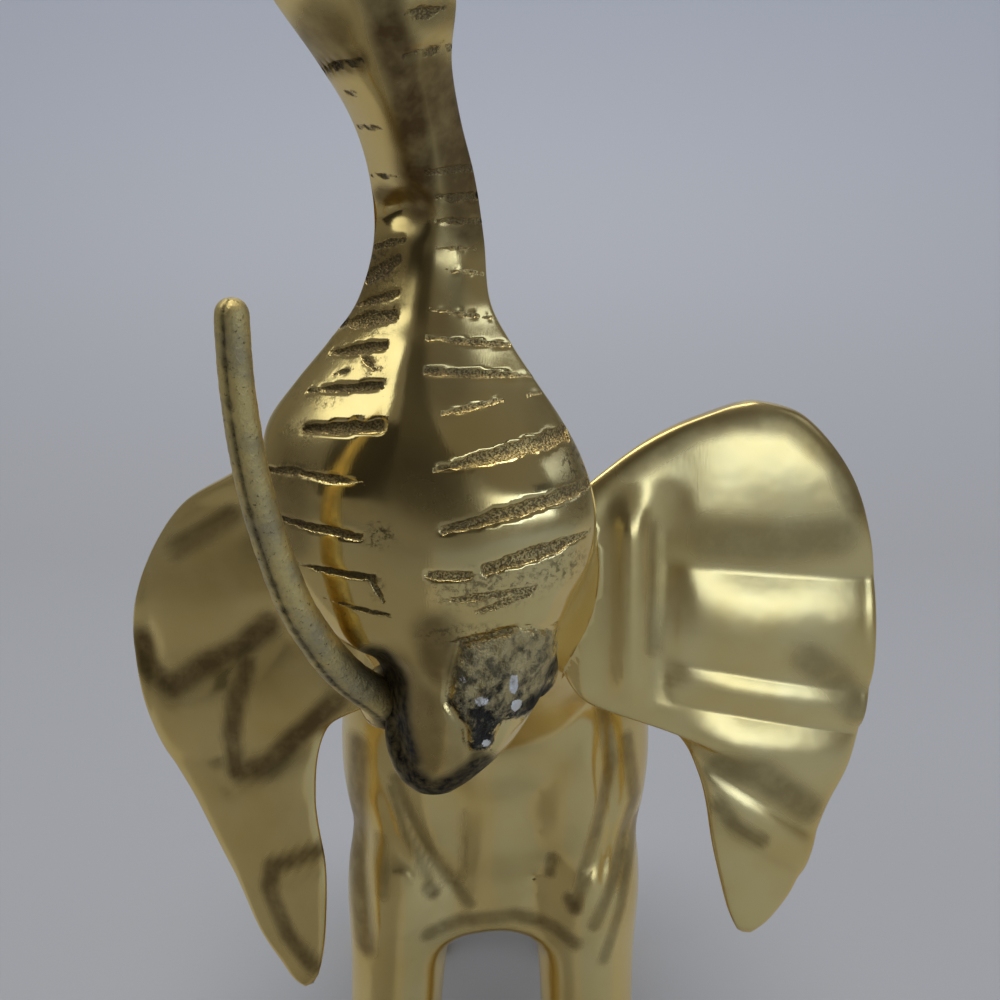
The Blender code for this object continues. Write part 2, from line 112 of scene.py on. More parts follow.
# File strokes: from across and height, to across and height, width, depth, roughness
# of the floor, how far each end tapers.
STROKES = [
    (-18.8, 107.8, -11.4, 106.6, 0.5, 0.35, 0.1, 0.6, 0.3),
    (-21.5, 111.5, -13.1, 110.8, 0.7, 0.45, 0.1, 0.6, 0.2),
    (-13.6, 110.9, -12.2, 108.2, 0.7, 0.30, 0.3, 0.2, 0.8),
    (-24, 116.4, -14.3, 115.1, 0.9, 0.55, 0.3, 0.6, 0.1),
    (-24.9, 121.3, -20.8, 121.6, 0.9, 0.55, 0.4, 0.4, 0.3),
    (-20.9, 121.4, -13.6, 120.7, 0.8, 0.50, 0.4, 0.3, 0.8),
    (-20.8, 125.8, -12.1, 126.7, 1.2, 0.65, 0.3, 0.4, 0.1),
    (-20.5, 129.7, -12.2, 130.7, 0.8, 0.55, 0.2, 0.6, 0.1),
    (-17.6, 131.5, -15.4, 132.1, 0.4, 0.20, 0.2, 0.6, 0.6),
    (-18.1, 133.6, -11.8, 134.7, 1.0, 0.55, 0.3, 0.6, 0.2),
    (-14.6, 133.6, -13, 132.2, 0.8, 0.25, 0.4, 0.3, 0.7),
    (-17.2, 136.5, -10.8, 137.9, 1.5, 0.40, 0.4, 0.6, 0.3),
    (-15.3, 138.7, -10.6, 140.1, 0.9, 0.40, 0.4, 0.6, 0.3),
    (-14.4, 141.3, -10.4, 143.7, 1.6, 0.25, 0.4, 0.4, 0.5),
    (-13.4, 144.8, -10, 145.6, 0.9, 0.25, 0.4, 0.4, 0.5),
    (-13.3, 152.2, -10.7, 151.9, 0.4, 0.20, 0.1, 0.3, 0.8),
    (-14.3, 156.8, -11.2, 156.4, 0.4, 0.15, 0.1, 0.3, 0.8),
    (-17.2, 161.9, -12.9, 162.1, 0.7, 0.45, 0.2, 0.5, 0.1),
    (-15.5, 159.9, -13.8, 159.4, 0.4, 0.20, 0.2, 0.5, 0.5),
    (-8.7, 166, -5.1, 166.8, 1.0, 0.40, 0.8, 0.5, 0.5),
    (-9.1, 162.5, -4.7, 163.9, 0.8, 0.45, 0.8, 0.4, 0.4),
    (-7.7, 152.3, -2.9, 152.9, 0.8, 0.30, 1.5, 0.4, 0.2),
    (-6.7, 149.8, -2, 150.1, 0.8, 0.40, 1.5, 0.3, 0.1),
    (-6.7, 147.5, -1.7, 147.5, 0.6, 0.35, 1.5, 0.3, 0.1),
    (-6.6, 144.8, -2.6, 144.6, 0.4, 0.20, 1.5, 0.5, 0.5),
    (-5.6, 142.4, -1.9, 142, 0.4, 0.25, 0.9, 0.6, 0.3),
    (-7.2, 138.4, -0.2, 137.2, 0.4, 0.30, 0.5, 0.5, 0.3),
    (-7.6, 135.5, 1, 134.4, 0.6, 0.35, 0.7, 0.5, 0.3),
    (-7.7, 132.2, 3.6, 131.1, 0.8, 0.45, 0.7, 0.1, 0.8),
    (-5.9, 127.9, 0.2, 128.9, 0.6, 0.35, 0.8, 0.5, 0.5),
    (3, 129.1, 4.4, 129.2, 0.4, 0.25, 0.8, 0.5, 0.5),
    (-6.9, 122.2, 7.2, 125, 1.6, 0.60, 1.0, 0.9, 0.0),
    (-6, 116, 9.6, 119.6, 1.4, 0.60, 1.0, 0.5, 0.2),
    (-1.8, 111.7, 9.8, 114.6, 1.5, 0.60, 1.0, 0.2, 0.9),
    (-7.6, 111.3, -3, 111.2, 1.0, 0.40, 1.0, 0.2, 0.3),
    (-6.5, 108.4, 3.9, 109.2, 0.8, 0.30, 1.0, 0.8, 0.4),
    (-2.6, 107, 3.2, 108.6, 0.8, 0.30, 1.0, 0.6, 0.4),
    (-6.3, 103.5, 1.9, 104.6, 0.6, 0.30, 0.8, 0.8, 0.1),
]
STROKE_EDGE = 0.3
# Outline of the solder scar and line of the gap between chin and cheek, on the front.
SOLDER_SCAR = [
    (-5.1, 99.1), (-4.1, 103.4), (1.9, 104.5), (6.0, 103.3), (6.7, 99.3), (5.2, 94.4),
    (2.8, 93.4), (0.2, 93.9), (-1.2, 90.1), (-3.3, 90.6), (-3.5, 93.6), (-5.4, 96.9),
]
SCAR_RISE, SCAR_MOAT = 0.45, 0.45
CHEEK_GAP = [(-13.2, 100.6), (-12.0, 98.0), (-11.9, 94.0), (-10.8, 89.4)]
CHEEK_GAP_DEPTH, CHEEK_GAP_HALF = 1.5, 1.1
CHIN_LOBE, CHIN_LOBE_HALF, CHIN_LOBE_RISE = (-7.0, 94.5), (4.2, 6.5), 1.3
CHIN_TOP = 107
# Line of the chin's lower rim, along which black shade is painted.
CHIN_RIM = [(-11.4, 90.2), (-10.4, 87.6), (-7.8, 85.2), (-4.6, 86.2), (-2.2, 88.2)]
# Share of a keel in the front's section, by height: rounded on the face, ridged above it,
# with how soft the crest of the keel is.
KEEL = [(84, 0.0), (119, 0.0), (131, 0.8), (150, 0.75), (172, 0.6), (187, 0.4)]
KEEL_SOFTNESS = [(84, 0.3), (132, 0.38), (150, 0.55), (187, 0.6)]
NOSTRIL_RIM_SHARE = 0.72
NOSTRIL_FLOOR_SHARE = 0.45
NOSTRIL_DEPTH = 4.0
NOSTRIL_RINGS = 8
TRUNK_COLUMNS = 180
FRONT_COLUMN_SHARE = 0.36
# Spacing of the rings, up to a height: closest on the chin and the face.
RING_SPACING = [(86, 0.3), (150, 0.38), (200, 0.55)]


def row_at(stations, place):
    """Row of values at a place along stations, on a smooth curve through them."""
    last = len(stations) - 1
    place = min(max(place, 0.0), 1.0) * last
    index = min(int(place), last - 1)
    share = place - index
    before, start = stations[max(index - 1, 0)], stations[index]
    end, after = stations[index + 1], stations[min(index + 2, last)]
    row = []
    for a, b, c, d in zip(before, start, end, after):
        slope_in, slope_out = (c - a) / 2, (d - b) / 2
        row.append(b + share * (slope_in + share * (3 * (c - b) - 2 * slope_in - slope_out
                   + share * (2 * (b - c) + slope_in + slope_out))))
    return row


def surface_mesh(bm, rows, columns, place, layer=None, mark=None):
    """Closed tube of rows by columns points, each put where place(turn, along) says, and
    marked in a layer with what mark(turn, along) says."""
    grid = bmesh.ops.create_grid(bm, x_segments=columns, y_segments=rows, size=0.5)["verts"]
    for vertex in grid:
        turn, along = vertex.co.x + 0.5, vertex.co.y + 0.5
        vertex.co = place(turn, along)
        if mark:
            vertex[layer] = mark(turn, along)
    bmesh.ops.remove_doubles(bm, verts=grid, dist=PART * 0.001)
    grid = [vertex for vertex in grid if vertex.is_valid]
    rim = {edge for vertex in grid for edge in vertex.link_edges if edge.is_boundary}
    bmesh.ops.holes_fill(bm, edges=list(rim), sides=0)
    bmesh.ops.recalc_face_normals(bm, faces=bm.faces)


def made_object(name, bm):
    mesh = bpy.data.meshes.new(name)
    bm.to_mesh(mesh)
    bm.free()
    made = bpy.data.objects.new(name, mesh)
    bpy.context.collection.objects.link(made)
    return made


def eased(share):
    share = min(max(share, 0.0), 1.0)
    return share * share * (3 - 2 * share)


def stroke_at(x, z):
    """Depth of the file strokes at a point of the front, reach inside the nearest, roughness."""
    deepest, inside, rough = 0.0, -1.0, 0.0
    for x0, z0, x1, z1, width, depth, roughness, taper_in, taper_out in STROKES:
        if not (min(z0, z1) - 2 < z < max(z0, z1) + 2 and x0 - 1 < x < x1 + 1):
            continue
        run_x, run_z = x1 - x0, z1 - z0
        length = math.hypot(run_x, run_z)
        share = ((x - x0) * run_x + (z - z0) * run_z) / length ** 2
        aside = abs((x - x0) * run_z - (z - z0) * run_x) / length
        wander = noise.noise(Vector((x * 0.9, z * 0.9, x0)))
        half = width / 2 * (1 + 0.4 * wander)
        half *= 1 - taper_in * (1 - eased(share / 0.45)) * 0.85
        half *= 1 - taper_out * (1 - eased((1 - share) / 0.45)) * 0.85
        reach = max(min(half - aside, min(share, 1 - share) * length + 0.12), -1.0)
        if reach > inside:
            inside, rough = reach, roughness
        deepest = max(deepest, depth * eased(reach / STROKE_EDGE))
    return deepest, inside, rough


def nearest_on(points, x, z):
    """Distance from a point of the front to a line of points."""
    nearest = 1e9
    for (x0, z0), (x1, z1) in zip(points, points[1:]):
        run = Vector((x1 - x0, z1 - z0))
        share = min(max(((x - x0) * run.x + (z - z0) * run.y) / run.length_squared, 0.0), 1.0)
        nearest = min(nearest, math.hypot(x - x0 - run.x * share, z - z0 - run.y * share))
    return nearest


def inside_outline(outline, x, z):
    """Distance inside a closed outline, below zero outside it."""
    inside = False
    for (x0, z0), (x1, z1) in zip(outline, outline[1:] + outline[:1]):
        if (z0 > z) != (z1 > z) and x < x0 + (z - z0) / (z1 - z0) * (x1 - x0):
            inside = not inside
    return nearest_on(outline + outline[:1], x, z) * (1 if inside else -1)


def chin_relief(x, z):
    """How far the chin stands out: its rounded lobe, the scar of the lost tusk and the gap
    beside the cheek."""
    off_x = (x - CHIN_LOBE[0]) / CHIN_LOBE_HALF[0]
    off_z = (z - CHIN_LOBE[1]) / CHIN_LOBE_HALF[1]
    relief = CHIN_LOBE_RISE * math.exp(-off_x ** 2 - off_z ** 2)
    relief -= CHEEK_GAP_DEPTH * math.exp(-(nearest_on(CHEEK_GAP, x, z) / CHEEK_GAP_HALF) ** 2)
    scar = inside_outline(SOLDER_SCAR, x, z)
    if scar > -1.5:
        lumps = noise.noise(Vector((x, z, 3.0)) * 0.75) * 0.5
        lumps += noise.noise(Vector((x, z, 7.0)) * 2.2) * 0.28
        relief += eased(scar / 0.7 + 0.2) * (SCAR_RISE + lumps)
        relief -= SCAR_MOAT * math.exp(-((scar + 0.25) / 0.45) ** 2)
    return relief


def trunk_ring_row(height):
    index = 0
    while index < len(FACE_AND_TRUNK) - 2 and height > FACE_AND_TRUNK[index + 1][0]:
        index += 1
    start, end = FACE_AND_TRUNK[index][0], FACE_AND_TRUNK[index + 1][0]
    return row_at(FACE_AND_TRUNK, (index + (height - start) / (end - start)) / (len(FACE_AND_TRUNK) - 1))


def level_at(levels, height):
    for (low, start), (high, end) in zip(levels, levels[1:]):
        if height <= high:
            return start + (end - start) * eased((height - low) / (high - low))
    return levels[-1][1]


def trunk_point(row, turn, shrink, sink):
    height, middle, half, edge_y, front, back, lean = row
    angle = turn * math.tau
    aside, ahead = math.sin(angle), math.cos(angle)
    tilt = math.radians(lean)
    x = middle + half * aside * shrink
    depth = -back * ahead
    if ahead > 0:
        full = ahead ** SIDE_EDGE_SHARPNESS
        soft = level_at(KEEL_SOFTNESS, height)
        ridged = (math.hypot(1, soft) - math.hypot(aside, soft)) / (math.hypot(1, soft) - soft)
        depth = -front * (full + (ridged - full) * level_at(KEEL, height))
    depth *= shrink
    if ahead > 0.02 and shrink == 1.0:
        stroke, inside, rough = stroke_at(x, height + depth * math.sin(tilt))
        depth += stroke * (1 + 0.2 * rough * noise.noise(Vector((x, depth, height)) * 1.6))
        off_x = (x - WAIST_DIMPLE[0]) / WAIST_DIMPLE_HALF[0]
        off_z = (height + depth * math.sin(tilt) - WAIST_DIMPLE[1]) / WAIST_DIMPLE_HALF[1]
        depth += WAIST_DIMPLE_DEPTH * math.exp(-off_x ** 2 - off_z ** 2)
        if height < CHIN_TOP:
            depth -= chin_relief(x, height) * eased(ahead / 0.25) * eased((CHIN_TOP - height) / 2)
    y = edge_y + depth * math.cos(tilt) + sink * math.sin(tilt)
    z = height + depth * math.sin(tilt) - sink * math.cos(tilt)
    return at(x, y, z)


trunk_heights, height = [], FACE_AND_TRUNK[0][0]
while height < FACE_AND_TRUNK[-1][0]:
    trunk_heights.append(height)
    height += next(spacing for limit, spacing in RING_SPACING if height < limit)
trunk_rings = [(trunk_ring_row(height), 1.0, 0.0) for height in trunk_heights]
trunk_end = trunk_ring_row(FACE_AND_TRUNK[-1][0])
for shrink, sink in ((0.995, 0.35), (0.97, 0.1), (0.93, 0.0), (0.86, 0.0), (0.79, 0.1),
                     (NOSTRIL_RIM_SHARE, 0.5)):
    trunk_rings.append((trunk_end, shrink, sink))
for step in range(1, NOSTRIL_RINGS + 1):
    share = step / NOSTRIL_RINGS
    shrink = NOSTRIL_RIM_SHARE + (NOSTRIL_FLOOR_SHARE - NOSTRIL_RIM_SHARE) * share ** 2
    trunk_rings.append((trunk_end, shrink, 0.5 + NOSTRIL_DEPTH * share))
trunk_rings.append((trunk_end, 0.2, NOSTRIL_DEPTH + 1.0))


def trunk_place(across, along):
    if across < FRONT_COLUMN_SHARE:
        turn = 0.25 * across / FRONT_COLUMN_SHARE
    elif across > 1 - FRONT_COLUMN_SHARE:
        turn = 1 - 0.25 * (1 - across) / FRONT_COLUMN_SHARE
    else:
        turn = 0.25 + 0.5 * (across - FRONT_COLUMN_SHARE) / (1 - 2 * FRONT_COLUMN_SHARE)
    row, shrink, sink = trunk_rings[round(along * (len(trunk_rings) - 1))]
    return trunk_point(row, turn, shrink, sink)


bm = bmesh.new()
surface_mesh(bm, len(trunk_rings) - 1, TRUNK_COLUMNS, trunk_place)
trunk_skin = made_object("trunk_skin", bm)


# Ears. Thin leaves cast with the head and bent forward at a fold along their root,
# with soft lobes that fan out from it and a thicker rounded rim.
# Inner and outer edge, as across, height pairs from the top to the tip; depth at the
# head, at the outer edge and at the tip; lobes, as their start, crest and end along the
# ear and their height; folds pressed into the leaf.
RIGHT_OF_FACE_EAR = {
    "inner": [(30.5, 124.6), (22.0, 121.8), (14.6, 117.4), (7.5, 111), (6.5, 103), (6.5, 95),
              (11.0, 86.2), (22.2, 81.6), (26.8, 74.4), (29.4, 62.3), (32.4, 50.6)],
    "outer": [(33.0, 125.0), (40.2, 122.6), (47.0, 114.8), (50.4, 105.5), (51.6, 95.2), (51.2, 83),
              (48.8, 74.6), (45.6, 68), (43.6, 61.8), (40.6, 55.6), (35.4, 49.8)],
    "depths": (-59, -46, -50),
    "lobes": [(-0.04, 0.27, 0.355, 0.9), (0.355, 0.45, 0.49, 1.0), (0.49, 0.53, 0.552, 0.6),
              (0.552, 0.63, 0.765, 1.0), (0.765, 0.825, 0.87, 0.8), (0.87, 0.95, 1.04, 0.4)],
    "folds": [],
}
LEFT_OF_FACE_EAR = {
    "inner": [(-26.5, 119.4), (-21.0, 118.0), (-14.5, 113), (-12.5, 106), (-12.5, 98), (-13.5, 90),
              (-17.0, 83.6), (-24.0, 78.6), (-25.8, 68.6), (-24.6, 56), (-25.6, 40.6)],
    "outer": [(-29.5, 118.6), (-36.5, 114.2), (-44.5, 109), (-50.0, 100.5), (-52.4, 91), (-51.4, 81.5),
              (-48.4, 73.4), (-43.4, 66), (-37.8, 54.5), (-34.0, 46), (-28.6, 37.6)],
    "depths": (-53, -39, -43),
    "lobes": [(-0.04, 0.12, 0.2, 0.4), (0.2, 0.36, 0.44, 0.5), (0.44, 0.56, 0.63, 0.6),
              (0.63, 0.72, 0.79, 0.5), (0.79, 0.9, 1.04, 0.4)],
    "folds": [[(-45.9, 103.5), (-36.4, 108.9)],
              [(-50.7, 90.8), (-49.5, 85.5), (-46.7, 82.8), (-36.9, 87.9), (-31.8, 93.7)],
              [(-31.8, 93.7), (-36.9, 86.1), (-39.0, 73.9)], [(-38.0, 69.8), (-30.0, 75.0), (-20.6, 81.6)],
              [(-26.3, 59.0), (-33.9, 55.3), (-31.4, 42.4)]],
}
EAR_WALL = 2.0
EAR_LOBE = 1.5
EAR_TOP_ROUND, EAR_TIP_ROUND = 0.03, 0.05
EAR_FOLD, EAR_FOLD_WIDTH = 0.7, 2.2
EAR_CUP = 2.0
EAR_ROOT_FOLD = 1.3
EAR_ROOT_CREST, EAR_ROOT_VALLEY = (17.0, 2.2), (21.0, 2.4)
EAR_ROWS = 96
EAR_COLUMNS = 110


def lobe_height(ear, along):
    """Height of the lobes: each swells to its crest and falls more steeply behind it."""
    for start, crest, end, size in ear["lobes"]:
        if start <= along < end:
            if along < crest:
                return size * math.sin(math.pi / 2 * (along - start) / (crest - start))
            return size * math.cos(math.pi / 2 * (along - crest) / (end - crest))
    return 0.0


def ear_place(ear, turn, along):
    """Point on the leaf: the front for the first half turn and the back for the rest."""
    side = 1 if ear["outer"][3][0] > 0 else -1
    head_y, outer_y, tip_y = ear["depths"]
    across = 0.5 - 0.5 * math.cos(math.tau * turn)
    front = -1 if turn < 0.5 else 1
    inner_x, inner_z = row_at(ear["inner"], along)
    outer_x, outer_z = row_at(ear["outer"], along)
    end = max(1 - along / EAR_TOP_ROUND, 1 - (1 - along) / EAR_TIP_ROUND, 0.0)
    full = math.sqrt(1 - end * end)
    span = 0.5 + (across - 0.5) * full
    x = inner_x + (outer_x - inner_x) * span
    z = inner_z + (outer_z - inner_z) * span
    out = abs(x - side * 10)
    y = head_y + (outer_y - head_y) * min(1.0, out / 40)
    y += (tip_y - y) * max(0.0, (70 - z) / 30) * 0.6
    y -= EAR_CUP * math.sin(math.pi * across) * math.sin(math.pi * along)
    grown = eased((out - 8) / 16)
    y -= EAR_LOBE * lobe_height(ear, along) * grown
    for fold in ear["folds"]:
        y += EAR_FOLD * math.exp(-(nearest_on(fold, x, z) / EAR_FOLD_WIDTH) ** 2)
    root = side * x
    fold = math.exp(-((root - EAR_ROOT_CREST[0]) / EAR_ROOT_CREST[1]) ** 2)
    fold -= 0.8 * math.exp(-((root - EAR_ROOT_VALLEY[0]) / EAR_ROOT_VALLEY[1]) ** 2)
    y -= EAR_ROOT_FOLD * fold * eased((z - 84) / 6) * eased((116 - z) / 8)
    edge = 1 - abs(2 * across - 1) ** 10
    wall = EAR_WALL * (1 + 0.25 * eased((0.25 - along) / 0.2)) * math.sqrt(max(edge, 0.0)) * full ** 0.5
    return at(x, y + front * wall / 2, z)


ear_leaves = []
for name, ear in (("right_of_face_ear", RIGHT_OF_FACE_EAR), ("left_of_face_ear", LEFT_OF_FACE_EAR)):
    bm = bmesh.new()
    surface_mesh(bm, EAR_ROWS, EAR_COLUMNS, lambda turn, along: ear_place(ear, turn, along))
    ear_leaves.append(made_object(name, bm))


# Body, head, legs and tail. The rest of the casting, rounded and blended, finished
# more plainly than the face. Rings of the barrel and neck run along the body, rings
# of the legs are level.
# Barrel: depth, height of the middle, half width, half height. Neck: the same, with
# the middle across first.
BARREL = [
    (-47, 84, 9, 12), (-42, 83.5, 17, 21), (-33, 82, 21, 27), (-15, 79, 24, 30), (10, 77, 25.5, 30.5),
    (35, 78, 25, 28), (52, 79, 21, 24), (61, 80, 14, 16), (65.5, 81, 6, 8),
]
NECK = [
    (-3.8, -72, 108, 13, 14), (-3.2, -60, 104, 16, 18.5), (-2.0, -47, 96, 18, 21), (-1.0, -32, 88, 20, 22),
]
SKULL_MIDDLE, SKULL_HALF, SKULL_TURN = (-3.6, -65, 110), (15.6, 19, 17), (0, -4, -7)
MUSCLES = [
    ((-11.6, -31, 72), (12.2, 15, 25)),
    ((10.2, -31, 72), (12.2, 15, 25)),
    ((-13.0, 43, 68), (13.6, 19, 27)),
    ((11.6, 43, 68), (13.6, 19, 27)),
    ((-0.8, 6, 68), (21, 36, 22)),
    ((-1.2, -32, 65), (15, 12.5, 18.5)),
    ((-0.8, -34.5, 52.5), (13.5, 7.0, 8.5)),
]
# Legs: height, half width, half depth. Places: across and depth of the sole and the top.
FORELEG = [
    (-2, 8.4, 9.6), (3, 8.5, 9.8), (8, 7.6, 8.8), (22, 7.0, 8.4), (38, 7.3, 9.4), (54, 8.6, 11), (72, 6, 7),
]
HINDLEG = [
    (-2, 8.6, 9.8), (3, 8.7, 10), (8, 7.8, 9), (22, 7.1, 8.8), (38, 8.2, 11), (54, 9.6, 13), (72, 7, 9),
]
FORELEG_PLACES = [((-16.6, -34), (-12.5, -32)), ((13.6, -34), (11.5, -32))]
HINDLEG_PLACES = [((-19.2, 47), (-14.2, 42)), ((17.2, 47), (13.4, 42))]
# Arch between the forelegs, and tail: points on their centre lines, with the radius.
LEG_ARCH = [
    (-12.2, -38.5, 33.0, 2.6), (-11.9, -38.5, 38.6, 2.6), (-10.5, -38.5, 42.8, 2.6), (-6.9, -38.5, 45.4, 2.6),
    (0.7, -38.5, 46.8, 2.6), (5.6, -38.5, 45.3, 2.6), (9.0, -38.5, 42.3, 2.6), (10.2, -38.5, 36.0, 2.6),
]
TOENAILS, TOENAIL_HALF, TOENAIL_SPREAD = 4, (2.0, 1.5, 2.4), 50
TAIL = [
    (-1, 57, 97, 2.6), (-1, 64, 91, 2.6), (-2, 66, 80, 2.4), (-4.5, 64, 67, 2.3), (-8, 60.5, 55, 2.3),
    (-10.5, 58, 47, 3.3), (-12, 56, 38, 2.2),
]
CHEEK_BOSSES = [((-12.6, -80.5, 93.6), 4.4), ((2.8, -82.5, 97.8), 4.4)]
EYES = [((-17.3, -73.5, 115.0), 2.3), ((9.3, -76.0, 116.4), 2.3)]
BODY_VOXEL = 1.35


def add_ball(bm, middle, half, turn=(0, 0, 0)):
    rotation = Euler([math.radians(angle) for angle in turn]).to_matrix().to_4x4()
    size = Matrix.Diagonal((*(Vector(half) * PART), 1))
    bmesh.ops.create_uvsphere(bm, u_segments=32, v_segments=20, radius=1,
                              matrix=Matrix.Translation(at(*middle)) @ rotation @ size)


def add_leg(bm, stations, sole, top):
    lowest, highest = stations[0][0], stations[-1][0]

    def place(turn, along):
        height, half_width, half_depth = row_at(stations, along)
        share = ((height - lowest) / (highest - lowest)) ** 2
        angle = turn * math.tau
        return at(sole[0] + (top[0] - sole[0]) * share + half_width * math.cos(angle),
                  sole[1] + (top[1] - sole[1]) * share + half_depth * math.sin(angle), height)

    surface_mesh(bm, 40, 36, place)
    for nail in range(TOENAILS):
        angle = math.radians(TOENAIL_SPREAD * (2 * nail / (TOENAILS - 1) - 1))
        x = sole[0] + (stations[1][1] - 0.3) * math.sin(angle)
        y = sole[1] - (stations[1][2] - 0.3) * math.cos(angle)
        add_ball(bm, (x, y, 3.0), TOENAIL_HALF, (0, 0, math.degrees(angle)))


def barrel_place(turn, along):
    y, middle, half_width, half_height = row_at(BARREL, along)
    angle = turn * math.tau
    return at(-1.0 + half_width * math.cos(angle), y, middle + half_height * math.sin(angle))


def neck_place(turn, along):
    x, y, middle, half_width, half_height = row_at(NECK, along)
    angle = turn * math.tau
    return at(x + half_width * math.cos(angle), y, middle + half_height * math.sin(angle))


def tube_point(line, turn, along, radius):
    """Point on a tube round a centre line."""
    step = 0.01
    here = Vector(row_at(line, along)[:3])
    ahead = Vector(row_at(line, min(along + step, 1))[:3]) - Vector(row_at(line, max(along - step, 0))[:3])
    ahead.normalize()
    side = ahead.cross(Vector((0, 1, 0.3))).normalized()
    up = side.cross(ahead)
    angle = turn * math.tau
    return at(*(here + (side * math.cos(angle) + up * math.sin(angle)) * radius))


bm = bmesh.new()
surface_mesh(bm, 60, 48, barrel_place)
surface_mesh(bm, 30, 40, neck_place)
surface_mesh(bm, 40, 16, lambda turn, along: tube_point(TAIL, turn, along, row_at(TAIL, along)[3]))
surface_mesh(bm, 40, 16, lambda turn, along: tube_point(LEG_ARCH, turn, along, row_at(LEG_ARCH, along)[3]))
add_ball(bm, SKULL_MIDDLE, SKULL_HALF, SKULL_TURN)
for stations, places in ((FORELEG, FORELEG_PLACES), (HINDLEG, HINDLEG_PLACES)):
    for sole, top in places:
        add_leg(bm, stations, sole, top)
for middle, half in MUSCLES:
    add_ball(bm, middle, half)
for middle, radius in CHEEK_BOSSES + EYES:
    add_ball(bm, middle, (radius,) * 3)
body_form = made_object("body_form", bm)
blend = body_form.modifiers.new("blend", "REMESH")
blend.mode = "VOXEL"
blend.voxel_size = BODY_VOXEL * PART
soften = body_form.modifiers.new("soften", "SMOOTH")
soften.factor = 0.5
soften.iterations = 11

# Creases carved in the chest and forelegs, as across, height pairs on their front,
# with a width and a depth, and small pits left in the casting.
CREASES = [
    ([(-16.1, 78.3), (-13.7, 66.1), (-10.6, 57.9), (-6.5, 51.8), (-3.2, 50.4)], 1.5, 0.8),
    ([(-17.9, 71.8), (-15.4, 61.4), (-12.1, 54.5), (-9.6, 52.5)], 1.3, 0.6),
    ([(-4.9, 66.0), (-5.2, 56.2), (-3.7, 50.9)], 1.3, 0.45),
    ([(-19.1, 66.4), (-20.5, 56.2), (-19.9, 43.1), (-18.4, 38.0)], 1.7, 0.9),
    ([(13.6, 79.0), (15.5, 66.8), (12.8, 55.3), (11.2, 50.5)], 1.3, 0.75),
    ([(14.4, 83.3), (16.6, 69.8), (16.3, 60.8), (13.9, 47.8)], 1.5, 0.8),
    ([(19.8, 66.1), (17.6, 54.5), (15.0, 46.0)], 1.3, 0.7),
    ([(18.2, 50.9), (16.0, 42.5)], 1.2, 0.5),
    ([(9.5, 77.0), (4.5, 70.0)], 2.0, 0.5),
]
CREASE_FADE = 9.0
CHEST_FOOT, CHEST_HEAD = 38, 86
PITS = [((7.6, 56.8), (0.8, 2.0), 0.35), ((10.9, 51.4), (1.1, 1.2), 0.4), ((-10.2, 53.0), (1.1, 0.8), 0.3)]


def crease_at(x, z):
    """Depth of the creases and pits at a point of the chest's front."""
    total = 0.0
    for points, width, depth in CREASES:
        away = nearest_on(points, x, z) / width
        if away < 4:
            fade = min(math.hypot(x - end[0], z - end[1]) for end in (points[0], points[-1]))
            total += depth * eased(fade / CREASE_FADE) * math.exp(-away * math.sqrt(away * away + 0.3))
    for (pit_x, pit_z), (half_x, half_z), depth in PITS:
        total += depth * math.exp(-((x - pit_x) / half_x) ** 2 - ((z - pit_z) / half_z) ** 2)
    return total


depsgraph = bpy.context.evaluated_depsgraph_get()
body_mesh = bpy.data.meshes.new_from_object(body_form.evaluated_get(depsgraph))
body_form.modifiers.clear()
body_form.data = body_mesh
bm = bmesh.new()
bm.from_mesh(body_mesh)
bm.normal_update()
chest = [edge for edge in bm.edges
         if all(vertex.normal.y < -0.15 and vertex.co.y < at(0, -22, 0).y
                and at(0, 0, CHEST_FOOT).z < vertex.co.z < at(0, 0, CHEST_HEAD).z for vertex in edge.verts)]
bmesh.ops.subdivide_edges(bm, edges=chest, cuts=1, use_grid_fill=True, smooth=0.0)
bmesh.ops.triangulate(bm, faces=[face for face in bm.faces if len(face.verts) > 4])
bm.normal_update()
for vertex in bm.verts:
    x, y, z = vertex.co / PART - HOME
    if y < -20 and CHEST_FOOT < z < CHEST_HEAD and vertex.normal.y < 0:
        vertex.co += vertex.normal * (-crease_at(x, z) * PART * eased(-vertex.normal.y / 0.3))
bm.to_mesh(body_mesh)
bm.free()


# Joining. Everything above is one casting, so the skins are united into one closed
# form and the soles are cut flat.
FLOOR_BLOCK = 400


def join(body, tool, operation):
    step = body.modifiers.new(tool.name, "BOOLEAN")
    step.operation = operation
    step.solver = "EXACT"
    step.object = tool


bm = bmesh.new()
bmesh.ops.create_cube(bm, size=FLOOR_BLOCK * PART, matrix=Matrix.Translation(at(0, 0, -FLOOR_BLOCK / 2)))
floor_block = made_object("floor_block", bm)
tools = [trunk_skin, *ear_leaves]
for tool in tools:
    join(body_form, tool, "UNION")
join(body_form, floor_block, "DIFFERENCE")
depsgraph = bpy.context.evaluated_depsgraph_get()
casting_mesh = bpy.data.meshes.new_from_object(body_form.evaluated_get(depsgraph))
casting_mesh.name = "elephant"
casting = bpy.data.objects.new("elephant", casting_mesh)
bpy.context.collection.objects.link(casting)
for tool in (*tools, floor_block, body_form):
    bpy.data.objects.remove(tool, do_unlink=True)
casting_mesh.shade_smooth()
